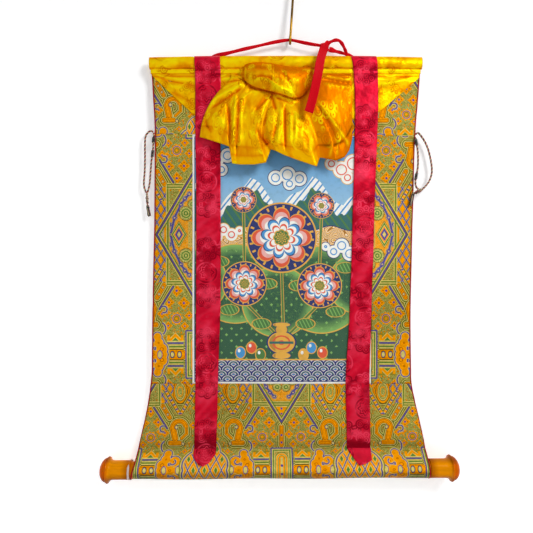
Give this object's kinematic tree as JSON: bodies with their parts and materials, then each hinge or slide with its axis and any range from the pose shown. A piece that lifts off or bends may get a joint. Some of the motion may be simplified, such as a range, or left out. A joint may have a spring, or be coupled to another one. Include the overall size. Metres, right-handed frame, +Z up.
{
  "type": "thangka scroll painting with hanging hook",
  "caption": "Brocade-mounted hanging scroll with silk veil, ribbons, side ties and knobbed roller, hung from a wire hook.",
  "frame": {"origin": "centre of the eye at the top of the hook, where a nail or ceiling hook holds the whole part up", "axes": "+Z up, +X to the right of someone who looks at the picture, and the picture faces -Y"},
  "size_m": [0.5856, 0.0498, 0.8286],
  "materials": {
    "brass_wire": "drawn wire, slightly dulled",
    "golden_silk": "glossy golden silk damask with woven roundels",
    "brocade": "woven brocade of olive, gold, blue-violet and cream",
    "painted_cotton": "smooth painted cotton with a white edge",
    "red_piping": "dark red cord piping",
    "crimson_satin": "crimson satin damask ribbon",
    "red_tape": "matt bright red ribbed tape",
    "plain_wood": "plain turned wood",
    "lining": "off-white cotton",
    "amber_lacquer": "glossy amber lacquer",
    "twisted_yarn": "cord twisted from red, dark green and white yarn"
  },
  "bodies": {
    "root": {"hook": "brass_wire", "heading": "golden_silk", "top_panel": "brocade", "left_panel": "brocade", "right_panel": "brocade", "bottom_panel": "brocade", "painting": "painted_cotton", "left_piping": "red_piping", "right_piping": "red_piping", "left_ribbon": "crimson_satin", "right_ribbon": "crimson_satin", "veil_upper": "golden_silk", "veil_gather": "golden_silk", "bottom_rod": "plain_wood", "lining_end": "lining", "left_knob": "amber_lacquer", "right_knob": "amber_lacquer", "hanger_long": "red_tape", "hanger_short": "red_tape", "hanger_bow": "red_tape", "hanger_knot": "red_tape", "hanger_tail": "red_tape", "left_tie_outer": "twisted_yarn", "left_tie_inner": "twisted_yarn", "left_tie_knot": "twisted_yarn", "left_tie_tassel": "twisted_yarn", "right_tie_outer": "twisted_yarn", "right_tie_inner": "twisted_yarn", "right_tie_knot": "twisted_yarn", "right_tie_tassel": "twisted_yarn"}
  },
  "joints": []
}
